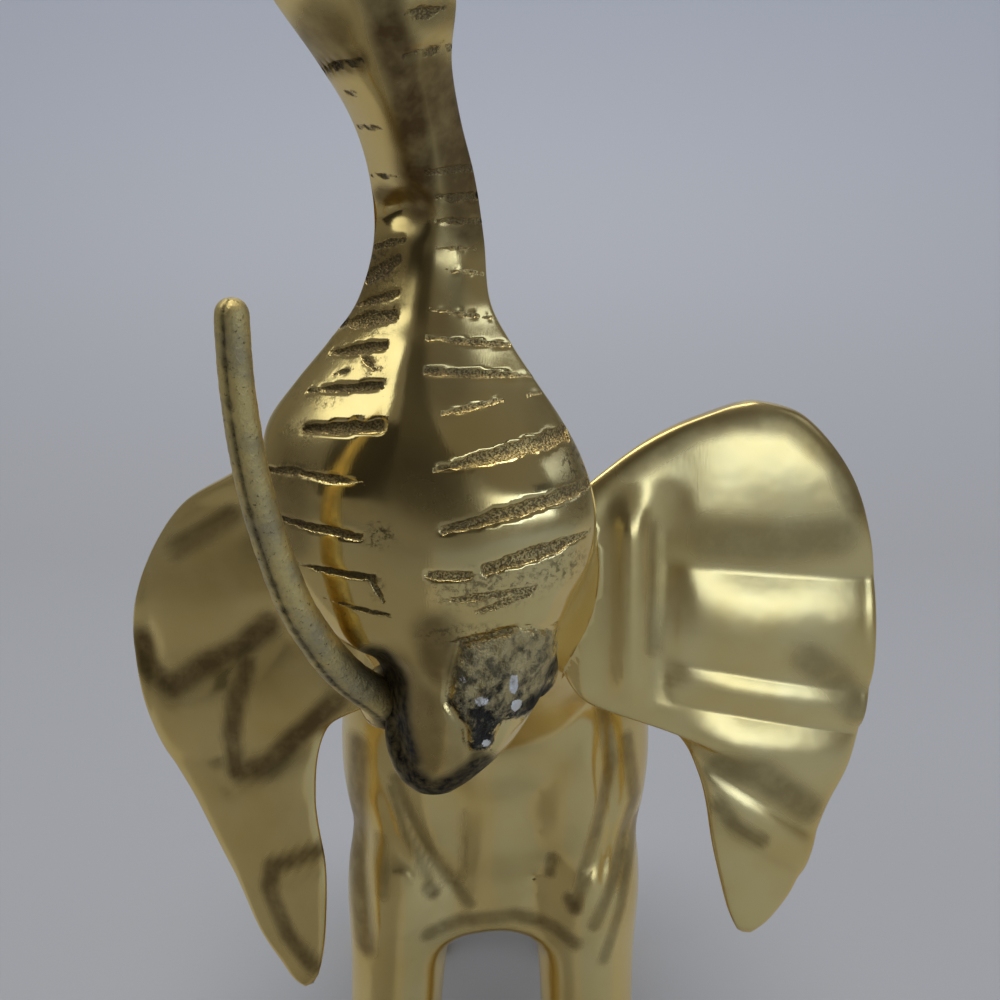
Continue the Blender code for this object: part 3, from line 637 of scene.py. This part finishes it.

# Where the finish changes. Black soot, with painted shade, lies round the tusk's root and under the chin;
# smudges of old polish and beads of solder have a middle, half sizes and an amount; and brown tarnish, with
# painted shade and painted reflections, follows lines of across, height points, with a half width and an
# amount.
# Spots of black soot and painted shade round the tusk's root and under the chin.
SOOT_AND_SHADE_SPOTS = [
    ((-12.4, 91.4), 2.6, 1.0), ((-9.6, 86.6), 3.0, 1.0), ((-6.6, 85.0), 2.4, 1.0), ((-11.6, 96.6), 2.6, 1.0),
    ((4.4, 94.6), 2.6, 1.0), ((6.4, 98.4), 2.0, 0.9), ((-2.4, 89.4), 1.6, 0.8),
]
SMUDGES = [
    ((-12.6, 115.4), (1.6, 1.2), 0.8), ((-12.9, 109.8), (0.8, 1.4), 0.7), ((-1.0, 109.6), (5.5, 2.2), 0.75),
    ((6.0, 111.5), (3.0, 2.2), 0.6), ((8.2, 121.0), (1.5, 4.5), 0.7), ((-13.0, 142.4), (2.6, 2.4), 0.8),
    ((-14.6, 137.2), (3.0, 1.6), 0.8), ((-17.5, 134.0), (3.4, 1.4), 0.5), ((-19.6, 129.4), (2.6, 1.3), 0.5),
    ((-20.8, 125.6), (2.6, 1.3), 0.5), ((-21.0, 121.4), (3.5, 1.3), 0.5), ((-13.2, 132.6), (1.2, 1.2), 0.7),
    ((-3.0, 104.4), (5.0, 1.2), 0.6),
]
SOLDER_BEADS = [
    ((1.5, 98.4), (0.5, 1.2), 1.0), ((1.8, 95.6), (0.6, 0.8), 0.95), ((-2.0, 96.9), (0.9, 0.7), 0.8),
    ((-1.5, 91.4), (0.5, 0.6), 0.8), ((-3.3, 90.4), (0.6, 0.5), 0.8), ((-3.9, 99.6), (0.5, 0.5), 0.6),
]
# Face: brown tarnish, partly painted: the lines down the trunk's ridge paint its dark reflection, and the
# short line at height 150 paints the dark shade of the notch above the waist's highlight.
FACE_SHADE_AND_TARNISH = [
    ([(-11.4, 169.0), (-10.0, 164.0), (-8.9, 159.8), (-8.4, 155.4), (-8.1, 149.6)], 2.1, 1.0),
    ([(-8.1, 147.0), (-7.6, 143.0), (-6.6, 138.4), (-5.6, 131.0)], 2.8, 0.50),
    ([(-6.2, 161.0), (-5.2, 157.4), (-4.2, 152.6), (-3.4, 147.0)], 2.4, 0.90),
    ([(-17.4, 164.8), (-15.6, 164.2)], 2.2, 0.75),
    ([(-17.1, 162.3), (-13.2, 162.2)], 1.0, 0.80),
    ([(-7.8, 166.0), (-5.0, 166.6)], 1.2, 0.60),
    ([(-12.4, 150.2), (-8.0, 149.8)], 0.9, 0.80),
    ([(-15.0, 139.4), (-11.6, 143.6)], 2.2, 0.60),
    ([(-20.6, 125.0), (-22.6, 120.0), (-22.4, 114.0)], 2.4, 0.55),
    ([(-8.8, 121.0), (-4.0, 118.6)], 3.4, 0.55),
    ([(5.6, 128.4), (8.2, 119.6)], 2.4, 0.45),
    ([(-6.7, 104.9), (-6.3, 100.9)], 2.3, 0.75),
    ([(-11.4, 100.0), (-8.6, 96.0), (-7.4, 90.0)], 2.4, 0.60),
    ([(-5.0, 94.0), (-5.6, 88.6)], 2.2, 0.45),
]
# Body: painted reflections and painted shade. The first lines paint the dark reflections in the rippled ears,
# the next paint shade in the chest's creases and pits, and the last paints the shade under the lip of the
# arch between the forelegs.
BODY_SHADE_AND_TARNISH = [
    ([(-45.1, 103.1), (-40.0, 106.1), (-36.7, 108.3)], 1.5, 0.65),
    ([(-51.1, 89.4), (-50.4, 85.6), (-46.6, 83.0), (-41.1, 87.0), (-35.6, 90.1), (-31.6, 93.7)], 1.7, 0.90),
    ([(-35.0, 87.6), (-36.6, 82.4), (-37.6, 76.5), (-36.8, 71.8)], 1.4, 0.85),
    ([(-36.8, 71.8), (-32.1, 73.5), (-27.7, 78.2), (-22.3, 83.7)], 1.6, 0.90),
    ([(-25.6, 60.7), (-32.2, 58.0), (-32.9, 54.4), (-30.4, 47.2), (-26.7, 42.5)], 1.3, 0.80),
    ([(16.6, 116.7), (24.5, 121.6), (30.2, 123.0), (38.1, 122.0), (44.4, 116.6), (47.6, 110.0)], 1.6, 0.60),
    ([(27.3, 107.6), (36.4, 106.3), (45.2, 106.8)], 3.0, 0.50),
    ([(29.8, 75.8), (35.1, 74.6), (42.3, 68.2)], 2.2, 0.60),
    ([(41.2, 90.2), (46.0, 86.4), (49.5, 81.6)], 2.2, 0.50),
    ([(29.5, 70.4), (32.0, 67.0), (35.6, 64.8)], 1.1, 0.65),
    ([(19.9, 109.1), (19.6, 100.0), (20.0, 92.8)], 0.9, 0.45),
    ([(-14.7, 70.2), (-12.0, 63.1), (-8.9, 55.9), (-4.5, 49.5)], 0.9, 0.55),
    ([(-15.2, 68.8), (-13.4, 61.6), (-10.3, 54.1)], 0.7, 0.50),
    ([(-5.1, 64.9), (-5.5, 53.8)], 0.6, 0.35),
    ([(-20.3, 74.0), (-21.4, 55.8), (-19.8, 42.9)], 1.6, 0.70),
    ([(-17.3, 60.3), (-16.9, 52.2)], 1.0, 0.40),
    ([(14.2, 82.0), (15.8, 72.2), (13.5, 60.7), (10.7, 49.9)], 0.9, 0.60),
    ([(18.1, 75.3), (19.6, 65.5), (16.6, 54.0), (13.7, 47.5)], 0.9, 0.60),
    ([(20.2, 61.2), (17.5, 48.8), (15.2, 41.6)], 0.8, 0.55),
    ([(7.6, 57.6), (7.2, 55.0)], 0.8, 0.70),
    ([(10.2, 51.4), (10.8, 50.0)], 1.0, 0.75),
    ([(-10.4, 52.8), (-9.6, 51.8)], 0.9, 0.75),
    ([(-10.4, 45.3), (-5.6, 46.8), (2.2, 47.8), (7.9, 46.4), (10.8, 44.4)], 1.1, 0.65),
]


def shade_and_tarnish_at(lines, x, z):
    """Amount of brown tarnish and painted shade at a point of the front."""
    most = 0.0
    for points, half, amount in lines:
        room = half * 1.7
        across, heights = zip(*points)
        if min(across) - room < x < max(across) + room and min(heights) - room < z < max(heights) + room:
            most = max(most, amount * eased((room - nearest_on(points, x, z)) / (half * 1.3)))
    return most


def cloud_at(spots, x, z):
    """Amount of a set of soft spots at a point of the front."""
    most = 0.0
    for (spot_x, spot_z), (half_x, half_z), amount in spots:
        most = max(most, amount * eased(1.5 - math.hypot((x - spot_x) / half_x, (z - spot_z) / half_z)))
    return most


# Front of the face and of the whole head, as depths, and top of the scar's stretch.
FACE_FRONT, HEAD_FRONT, SCAR_TOP = -80, -74, 108
cut, rough_cast, solder, bead, soot_and_shade, smudge, shade_and_tarnish = [], [], [], [], [], [], []
for vertex in casting_mesh.vertices:
    x, y, z = vertex.co / PART - HOME
    face = y < FACE_FRONT and vertex.normal.y < 0.35
    depth, inside, rough = stroke_at(x, z) if face else (0.0, -1.0, 0.0)
    cut.append(inside)
    rough_cast.append(rough)
    solder.append(max(inside_outline(SOLDER_SCAR, x, z), -1.0) if face and z < SCAR_TOP else -1.0)
    dark = 0.0
    if y < HEAD_FRONT and z < 106:
        for (spot_x, spot_z), reach, amount in SOOT_AND_SHADE_SPOTS:
            dark = max(dark, amount * eased((reach - math.hypot(x - spot_x, z - spot_z)) / reach * 1.6))
        # Painted shade: black along the gap beside the cheek and along the chin's lower rim.
        dark = max(dark, eased(1.9 - nearest_on(CHEEK_GAP, x, z) / 1.6))
        dark = max(dark, eased(1.7 - nearest_on(CHIN_RIM, x, z) / 1.5))
    soot_and_shade.append(dark)
    smudge.append(cloud_at(SMUDGES, x, z) if face else 0.0)
    bead.append(cloud_at(SOLDER_BEADS, x, z) if face and z < SCAR_TOP else 0.0)
    if vertex.normal.y > 0.35 or y > -30:
        shade_and_tarnish.append(0.0)
    else:
        shade_and_tarnish.append(shade_and_tarnish_at(FACE_SHADE_AND_TARNISH if y < HEAD_FRONT else BODY_SHADE_AND_TARNISH, x, z))
for name, values in (("cut", cut), ("rough_cast", rough_cast), ("solder", solder), ("bead", bead),
                     ("soot_and_shade", soot_and_shade), ("smudge", smudge), ("shade_and_tarnish", shade_and_tarnish)):
    casting_mesh.attributes.new(name, "FLOAT", "POINT").data.foreach_set("value", values)


# Polished brass. Yellow metal with fine buffing marks and faint waves from hand
# polishing; rough floors hold brown dirt with bright grains; the scar is grey solder;
# soot and the painted shade under the chin and in the cheek gap are dull and black; brown
# tarnish with painted shade and painted reflections darkens lines on the face, ears and chest.
def new_material(name):
    material = bpy.data.materials.new(name)
    material.use_nodes = True
    tree = material.node_tree
    return material, tree.nodes, tree.links, tree.nodes["Principled BSDF"]


def add_node(nodes, kind, **values):
    node = nodes.new(kind)
    for name, value in values.items():
        if name in node.inputs:
            node.inputs[name].default_value = value
        else:
            setattr(node, name, value)
    return node


def add_noise(nodes, links, vector, scale, detail=2.0, roughness=0.5):
    node = nodes.new("ShaderNodeTexNoise")
    node.inputs["Scale"].default_value = scale
    node.inputs["Detail"].default_value = detail
    node.inputs["Roughness"].default_value = roughness
    links.new(vector, node.inputs["Vector"])
    return node.outputs["Fac"]


def add_range(nodes, links, value, low, high, to_low=0.0, to_high=1.0):
    node = nodes.new("ShaderNodeMapRange")
    node.inputs["From Min"].default_value = low
    node.inputs["From Max"].default_value = high
    node.inputs["To Min"].default_value = to_low
    node.inputs["To Max"].default_value = to_high
    links.new(value, node.inputs["Value"])
    return node.outputs["Result"]


def add_math(nodes, links, operation, first, second):
    node = nodes.new("ShaderNodeMath")
    node.operation = operation
    node.use_clamp = True
    for socket, value in zip(node.inputs, (first, second)):
        if isinstance(value, float):
            socket.default_value = value
        else:
            links.new(value, socket)
    return node.outputs[0]


def add_mix(nodes, links, share, first, second):
    node = nodes.new("ShaderNodeMix")
    node.data_type = "RGBA"
    for socket, value in ((node.inputs[0], share), (node.inputs[6], first), (node.inputs[7], second)):
        if isinstance(value, tuple):
            socket.default_value = (*value, 1)
        else:
            links.new(value, socket)
    return node.outputs[2]


def add_blend(nodes, links, share, first, second):
    node = nodes.new("ShaderNodeMix")
    node.data_type = "FLOAT"
    for socket, value in ((node.inputs[0], share), (node.inputs[2], first), (node.inputs[3], second)):
        if isinstance(value, float):
            socket.default_value = value
        else:
            links.new(value, socket)
    return node.outputs[0]


BRASS = (0.88, 0.69, 0.29)
WARM_BRASS = (0.82, 0.60, 0.21)
DIRT = (0.045, 0.034, 0.020)
BROWN_DIRT = (0.23, 0.165, 0.075)
SHADE_AND_TARNISH_BROWN = (0.14, 0.085, 0.032)
SOLDER_OLIVE = (0.66, 0.53, 0.25)
SOLDER_CHARCOAL = (0.050, 0.046, 0.036)
SOLDER_PALE = (1.0, 0.97, 0.88)
SCAR_FOOT, SCAR_HEAD = at(0, 0, 92.5).z, at(0, 0, 101.0).z
SOOT_AND_SHADE_BLACK = (0.014, 0.011, 0.008)
SATIN_START, SATIN_FULL = at(0, -80, 0).y, at(0, -62, 0).y
SATIN_ROUGHNESS = 0.24

brass, nodes, links, shader = new_material("hand_polished_brass")
place = nodes.new("ShaderNodeTexCoord").outputs["Object"]


def mask_of(name):
    return add_node(nodes, "ShaderNodeAttribute", attribute_name=name).outputs["Fac"]


coarse = add_noise(nodes, links, place, 900.0, 3.0, 0.6)
grain = add_noise(nodes, links, place, 3800.0, 2.0, 0.6)
ragged = add_range(nodes, links, coarse, 0.25, 0.75, -0.13, 0.13)
cut_edge = nodes.new("ShaderNodeMath")
cut_edge.operation = "ADD"
links.new(mask_of("cut"), cut_edge.inputs[0])
links.new(ragged, cut_edge.inputs[1])
in_cut = add_range(nodes, links, cut_edge.outputs[0], -0.06, 0.06)
scar_edge = nodes.new("ShaderNodeMath")
scar_edge.operation = "ADD"
links.new(mask_of("solder"), scar_edge.inputs[0])
links.new(add_range(nodes, links, coarse, 0.25, 0.75, -0.9, 0.9), scar_edge.inputs[1])
in_scar = add_range(nodes, links, scar_edge.outputs[0], -0.15, 0.35)

tint = add_range(nodes, links, add_noise(nodes, links, place, 90.0, 3.0), 0.35, 0.7)
colour = add_mix(nodes, links, tint, BRASS, WARM_BRASS)
clean_grain = add_range(nodes, links, grain, 0.45, 0.56)
clean_grain = add_math(nodes, links, "MULTIPLY", mask_of("rough_cast"), clean_grain)
dirt_share = add_math(nodes, links, "SUBTRACT", in_cut, clean_grain)
dirt_share = add_math(nodes, links, "MULTIPLY", dirt_share, 0.92)
specks = add_range(nodes, links, add_noise(nodes, links, place, 1500.0, 6.0, 0.75), 0.49, 0.58)
smudge_share = add_math(nodes, links, "MULTIPLY", mask_of("smudge"), specks)
dirt_share = add_math(nodes, links, "MAXIMUM", dirt_share, smudge_share)
dirt = add_mix(nodes, links, mask_of("rough_cast"), DIRT, BROWN_DIRT)
mottle = add_range(nodes, links, add_noise(nodes, links, place, 300.0, 3.0, 0.6), 0.3, 0.6, 0.75, 1.0)
# Brown tarnish with painted shade and painted reflections, mottled by noise.
shade_and_tarnish_share = add_math(nodes, links, "MULTIPLY", mask_of("shade_and_tarnish"), mottle)
colour = add_mix(nodes, links, shade_and_tarnish_share, colour, SHADE_AND_TARNISH_BROWN)
colour = add_mix(nodes, links, dirt_share, colour, dirt)
blotch = add_noise(nodes, links, place, 900.0, 5.0, 0.75)
height = nodes.new("ShaderNodeSeparateXYZ")
links.new(place, height.inputs["Vector"])
olive_share = add_range(nodes, links, height.outputs["Z"], SCAR_FOOT, SCAR_HEAD, 0.10, 0.80)
patches = add_noise(nodes, links, place, 380.0, 6.0, 0.72)
patchy = add_math(nodes, links, "ADD", olive_share, add_range(nodes, links, patches, 0.42, 0.60, -0.50, 0.50))
solder_tone = add_mix(nodes, links, patchy, SOLDER_CHARCOAL, SOLDER_OLIVE)
fleck = add_range(nodes, links, blotch, 0.35, 0.65, -0.25, 0.25)
fleck = add_math(nodes, links, "ADD", mask_of("bead"), fleck)
fleck = add_range(nodes, links, fleck, 0.50, 0.62)
solder_tone = add_mix(nodes, links, fleck, solder_tone, SOLDER_PALE)
colour = add_mix(nodes, links, in_scar, colour, solder_tone)
# Black soot and painted shade, dull and not metallic.
soot_and_shade_share = add_range(nodes, links, coarse, 0.75, 0.35, 0.8, 1.0)
soot_and_shade_share = add_math(nodes, links, "MULTIPLY", mask_of("soot_and_shade"), soot_and_shade_share)
colour = add_mix(nodes, links, soot_and_shade_share, colour, SOOT_AND_SHADE_BLACK)
links.new(colour, shader.inputs["Base Color"])
links.new(add_range(nodes, links, soot_and_shade_share, 0.0, 1.0, 1.0, 0.0), shader.inputs["Metallic"])
shader.inputs["Specular IOR Level"].default_value = 0.05
roughness = add_range(nodes, links, add_noise(nodes, links, place, 160.0, 4.0, 0.6), 0.3, 0.7, 0.10, 0.17)
satin = add_range(nodes, links, height.outputs["Y"], SATIN_START, SATIN_FULL)
roughness = add_blend(nodes, links, satin, roughness, SATIN_ROUGHNESS)
for share, value in ((shade_and_tarnish_share, 0.40), (in_cut, 0.40), (in_scar, 0.42), (soot_and_shade_share, 0.5),
                     (smudge_share, 0.45)):
    roughness = add_blend(nodes, links, share, roughness, value)
links.new(roughness, shader.inputs["Roughness"])

stretch = nodes.new("ShaderNodeMapping")
stretch.inputs["Scale"].default_value = (1.0, 1.0, 0.03)
links.new(place, stretch.inputs["Vector"])
buff_bump = add_node(nodes, "ShaderNodeBump", Strength=0.10, Distance=0.00005)
links.new(add_noise(nodes, links, stretch.outputs["Vector"], 5200.0, 2.0), buff_bump.inputs["Height"])
wave_bump = add_node(nodes, "ShaderNodeBump", Strength=0.5, Distance=0.00020)
links.new(add_noise(nodes, links, place, 130.0, 2.0), wave_bump.inputs["Height"])
links.new(buff_bump.outputs["Normal"], wave_bump.inputs["Normal"])
rim_bump = add_node(nodes, "ShaderNodeBump", Strength=0.5, Distance=0.00020, invert=True)
links.new(in_cut, rim_bump.inputs["Height"])
links.new(wave_bump.outputs["Normal"], rim_bump.inputs["Normal"])
pit_bump = add_node(nodes, "ShaderNodeBump", Distance=0.00022)
pitted = add_math(nodes, links, "MAXIMUM", in_cut, in_scar)
links.new(add_math(nodes, links, "MAXIMUM", pitted, add_math(nodes, links, "MULTIPLY", smudge_share, 0.6)),
          pit_bump.inputs["Strength"])
links.new(grain, pit_bump.inputs["Height"])
links.new(rim_bump.outputs["Normal"], pit_bump.inputs["Normal"])
links.new(pit_bump.outputs["Normal"], shader.inputs["Normal"])
casting_mesh.materials.clear()
casting_mesh.materials.append(brass)
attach(casting, "root")
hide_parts("elephant_casting")


# Tusk. A cast rod of dull brass with a seam down one side, soldered to the cheek by
# its blunt root.
TUSK_LINE = [
    (-14.3, -84.9, 95.4), (-17.0, -88.5, 98.8), (-19.4, -92.2, 103.4), (-21.8, -95.4, 109.4),
    (-24.2, -99.6, 120.2), (-25.2, -103.0, 130.6), (-25.2, -105.6, 140.2),
]
TUSK_ROOT_DIAMETER, TUSK_TIP_DIAMETER, TUSK_SEAT = 4.5, 3.3, 2.9
TUSK_ROWS, TUSK_COLUMNS = 260, 56
SEAM_TURN, SEAM_DEPTH = 0.81, 0.16
ROUND_SHARE = 0.035

mouth, ahead = Vector(TUSK_LINE[0]), Vector(TUSK_LINE[1])
tusk_line = [mouth + (mouth - ahead).normalized() * TUSK_SEAT] + [Vector(point) for point in TUSK_LINE]


def tusk_place(turn, along):
    diameter = TUSK_ROOT_DIAMETER + (TUSK_TIP_DIAMETER - TUSK_ROOT_DIAMETER) * along
    rounding = max(0.0, (along - 1 + ROUND_SHARE) / ROUND_SHARE) * 0.96
    radius = diameter / 2 * math.sqrt(1 - rounding ** 2)
    angle = turn * math.tau
    spot = Vector(row_at(tusk_line, along)[:3]) + Vector((math.cos(angle), math.sin(angle), 0))
    seam = SEAM_TURN + 0.012 * noise.noise(spot * 0.5)
    away = min(abs(turn - seam), 1 - abs(turn - seam)) * math.tau * radius
    radius -= SEAM_DEPTH * math.exp(-(away / 0.22) ** 2) * (0.75 + 0.5 * noise.noise(spot * 1.3))
    radius += 0.05 * noise.noise(spot * 1.1) + 0.02 * noise.noise(spot * 4.0)
    return tube_point(tusk_line, turn, along, radius)


def seam_mark(turn, along):
    """How dirty the rod is: along its seam and round its root."""
    away = min(abs(turn - SEAM_TURN), 1 - abs(turn - SEAM_TURN)) * math.tau * TUSK_ROOT_DIAMETER / 2
    wander = 0.35 * noise.noise(Vector((along * 60, 0, 0)))
    return max(math.exp(-((away + wander) / 0.35) ** 2), 0.8 * eased((0.10 - along) / 0.08))


bm = bmesh.new()
seam_layer = bm.verts.layers.float.new("seam_dirt")
surface_mesh(bm, TUSK_ROWS, TUSK_COLUMNS, tusk_place, seam_layer, seam_mark)
tusk = made_object("tusk", bm)
tusk.data.shade_smooth()

DULL_BRASS = (0.78, 0.61, 0.24)
GREY_BRASS = (0.52, 0.43, 0.22)
rod, nodes, links, shader = new_material("dull_cast_brass")
place = nodes.new("ShaderNodeTexCoord").outputs["Object"]
seam_mask = add_node(nodes, "ShaderNodeAttribute", attribute_name="seam_dirt").outputs["Fac"]
patch = add_range(nodes, links, add_noise(nodes, links, place, 240.0, 4.0, 0.6), 0.4, 0.62)
colour = add_mix(nodes, links, patch, DULL_BRASS, GREY_BRASS)
speckle = add_noise(nodes, links, place, 2300.0, 3.0, 0.7)
colour = add_mix(nodes, links, add_range(nodes, links, speckle, 0.60, 0.74), colour, DIRT)
seam_share = add_range(nodes, links, speckle, 0.75, 0.35, 0.4, 1.0)
seam_share = add_math(nodes, links, "MULTIPLY", seam_mask, seam_share)
colour = add_mix(nodes, links, seam_share, colour, DIRT)
links.new(colour, shader.inputs["Base Color"])
shader.inputs["Metallic"].default_value = 0.9
links.new(add_range(nodes, links, speckle, 0.3, 0.7, 0.36, 0.58), shader.inputs["Roughness"])
rod_bump = add_node(nodes, "ShaderNodeBump", Strength=0.6, Distance=0.0002)
links.new(speckle, rod_bump.inputs["Height"])
links.new(rod_bump.outputs["Normal"], shader.inputs["Normal"])
tusk.data.materials.append(rod)
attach(tusk, "root")
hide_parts("right_tusk")


# Studio. A pale sweep of board under and behind the figurine, broad soft lights to both
# sides and above, and dark cards seen only in the metal, as a photographer would set.
SWEEP_WIDTH, SWEEP_FRONT, SWEEP_BACK, SWEEP_BEND, SWEEP_TOP = 3.2, -0.62, 0.75, 0.3, 1.3
BOARD_FOOT, BOARD_HEAD = (0.43, 0.435, 0.45), (0.56, 0.60, 0.70)
BOARD_LEVEL = -0.0002

bm = bmesh.new()
profile = [Vector((-SWEEP_WIDTH / 2, SWEEP_FRONT, BOARD_LEVEL)),
           Vector((-SWEEP_WIDTH / 2, SWEEP_BACK - SWEEP_BEND, BOARD_LEVEL))]
for step in range(1, 25):
    angle = math.radians(90 * step / 24)
    profile.append(Vector((-SWEEP_WIDTH / 2, SWEEP_BACK - SWEEP_BEND + SWEEP_BEND * math.sin(angle),
                           SWEEP_BEND * (1 - math.cos(angle)))))
profile.append(Vector((-SWEEP_WIDTH / 2, SWEEP_BACK, SWEEP_TOP)))
line = [bm.verts.new(point) for point in profile]
edges = [bm.edges.new(pair) for pair in zip(line, line[1:])]
across = bmesh.ops.extrude_edge_only(bm, edges=edges)["geom"]
bmesh.ops.translate(bm, verts=[item for item in across if isinstance(item, bmesh.types.BMVert)],
                    vec=(SWEEP_WIDTH, 0, 0))
bmesh.ops.recalc_face_normals(bm, faces=bm.faces)
sweep = made_object("sweep", bm)
sweep.data.shade_smooth()
board, nodes, links, shader = new_material("pale_board")
level = nodes.new("ShaderNodeSeparateXYZ")
links.new(nodes.new("ShaderNodeTexCoord").outputs["Object"], level.inputs["Vector"])
fade = add_range(nodes, links, level.outputs["Z"], 0.0, 0.40)
links.new(add_mix(nodes, links, fade, BOARD_FOOT, BOARD_HEAD), shader.inputs["Base Color"])
shader.inputs["Roughness"].default_value = 0.55
sweep.data.materials.append(board)


def add_card(name, middle, size, facing, colour):
    """Flat card that shows only in reflections."""
    bm = bmesh.new()
    turn = (Vector(facing) - Vector(middle)).to_track_quat("Z", "Y").to_matrix().to_4x4()
    scale = Matrix.Diagonal((size[0] / 2, size[1] / 2, 1, 1))
    bmesh.ops.create_grid(bm, x_segments=1, y_segments=1, size=1,
                          matrix=Matrix.Translation(middle) @ turn @ scale)
    card = made_object(name, bm)
    material, nodes, links, shader = new_material(name)
    shader.inputs["Base Color"].default_value = (*colour, 1)
    shader.inputs["Roughness"].default_value = 0.9
    card.data.materials.append(material)
    card.visible_camera = False
    card.visible_diffuse = False
    card.visible_shadow = False


def add_light(name, middle, size, radiance, facing, colour):
    """Soft box whose face is as bright as radiance says."""
    data = bpy.data.lights.new(name, "AREA")
    data.shape = "RECTANGLE"
    data.size, data.size_y = size
    data.energy = radiance * math.pi * size[0] * size[1]
    data.color = colour
    light = bpy.data.objects.new(name, data)
    light.location = middle
    light.rotation_mode = "QUATERNION"
    light.rotation_quaternion = (Vector(facing) - Vector(middle)).to_track_quat("-Z", "Y")
    light.visible_camera = False
    bpy.context.collection.objects.link(light)


FACE = (-0.005, -0.07, 0.115)
DAYLIGHT = (0.80, 1.0, 1.45)
add_light("window_left", (-0.57, -0.37, 0.60), (0.62, 0.17), 1.25, FACE, (0.90, 1.0, 1.10))
add_light("window_right", (0.60, -0.60, 0.165), (0.62, 0.15), 1.9, FACE, DAYLIGHT)
add_light("window_far_right", (0.78, -0.09, 0.48), (0.34, 0.16), 1.0, FACE, DAYLIGHT)
add_light("overhead", (0.0, 0.0, 1.30), (1.1, 0.9), 3.9, (0.0, 0.75, 0.45), (1.0, 1.0, 1.0))
add_card("black_card", (-0.36, -0.53, 0.26), (0.46, 0.36), FACE, (0.055, 0.048, 0.042))
add_card("dark_card", (0.03, -0.66, 0.36), (0.42, 0.56), FACE, (0.15, 0.135, 0.115))
add_card("dark_side", (0.72, -0.36, 0.30), (0.24, 0.16), FACE, (0.10, 0.10, 0.10))
# The left floor card is dark grey: painted shade on the floor in front of the figurine, seen only in the
# metal.
add_card("shaded_floor_card_left", (-0.45, -0.33, 0.002), (0.86, 0.60), (-0.45, -0.33, 1.0), (0.27, 0.27, 0.27))
add_card("table_right", (0.45, -0.33, 0.002), (0.90, 0.60), (0.45, -0.33, 1.0), (0.38, 0.42, 0.50))

world = bpy.data.worlds.new("studio")
world.use_nodes = True
world.node_tree.nodes["Background"].inputs["Color"].default_value = (0.15, 0.15, 0.155, 1)
world.node_tree.nodes["Background"].inputs["Strength"].default_value = 1.0
bpy.context.scene.world = world
bpy.context.scene.view_settings.view_transform = "Standard"
